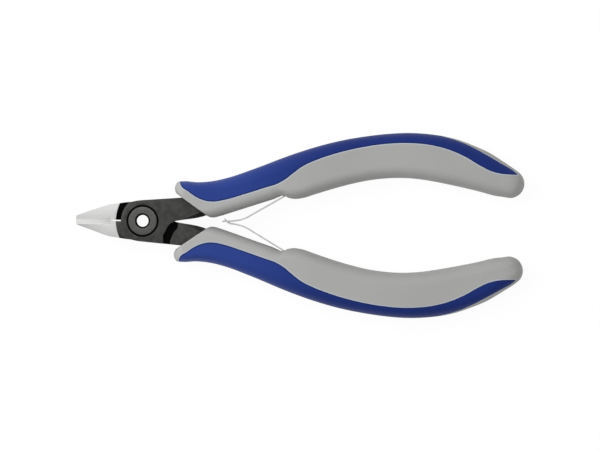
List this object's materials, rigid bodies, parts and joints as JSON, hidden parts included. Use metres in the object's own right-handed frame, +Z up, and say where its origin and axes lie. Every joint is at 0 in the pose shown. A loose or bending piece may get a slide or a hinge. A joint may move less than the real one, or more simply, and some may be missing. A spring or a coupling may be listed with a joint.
{
  "type": "flush cut pliers",
  "caption": "Precision flush cutter with a lap joint on a hollow screw, slim ground jaws, two-colour curved grips and a hooked double leaf opening spring.",
  "frame": {"origin": "middle of the length and width of the closed pliers lying flat, on the surface that they lie on", "axes": "+X from the jaws to the ends of the handles, +Y to the handle that carries the front half, +Z up out of the face that shows the screw's head and the flush side of the jaws"},
  "size_m": [0.125, 0.0516, 0.011],
  "materials": {
    "dark_steel": "burnished dark grey head and tangs with bright ground jaws",
    "joint_steel": "turned, dark burnished",
    "grey_plastic": "soft satin light grey moulding",
    "blue_plastic": "satin dark blue moulding",
    "spring_steel": "bright rolled strip"
  },
  "bodies": {
    "lower_lever": {"rear_half": "dark_steel", "lower_grip_body": "grey_plastic", "lower_grip_inlay": "blue_plastic", "joint_screw": "joint_steel", "joint_nut": "joint_steel"},
    "upper_lever": {"front_half": "dark_steel", "upper_grip_body": "grey_plastic", "upper_grip_inlay": "blue_plastic"},
    "upper_leaf": {"upper_spring_leaf": "spring_steel"},
    "lower_leaf": {"lower_spring_leaf": "spring_steel"}
  },
  "joints": [
    {"name": "jaw_pivot", "type": "hinge", "parent": "lower_lever", "child": "upper_lever", "pos_m": [-0.0439, 0, 0.0055], "axis": [0, 0, 1], "range_deg": [0, 16], "stiffness_Nm_per_rad": 0.3, "springref_deg": 20.05},
    {"name": "upper_leaf_flex", "type": "hinge", "parent": "upper_lever", "child": "upper_leaf", "pos_m": [-0.0043, 0.00762, 0.0055], "axis": [0, 0, 1], "range_deg": [0, 13.5]},
    {"name": "lower_leaf_flex", "type": "hinge", "parent": "lower_lever", "child": "lower_leaf", "pos_m": [-0.0043, -0.00762, 0.0055], "axis": [0, 0, 1], "range_deg": [-13.5, 0]}
  ],
  "couplings": [
    {"joint": "upper_leaf_flex", "follows": "jaw_pivot", "ratio": 0.84},
    {"joint": "lower_leaf_flex", "follows": "jaw_pivot", "ratio": -0.84}
  ]
}
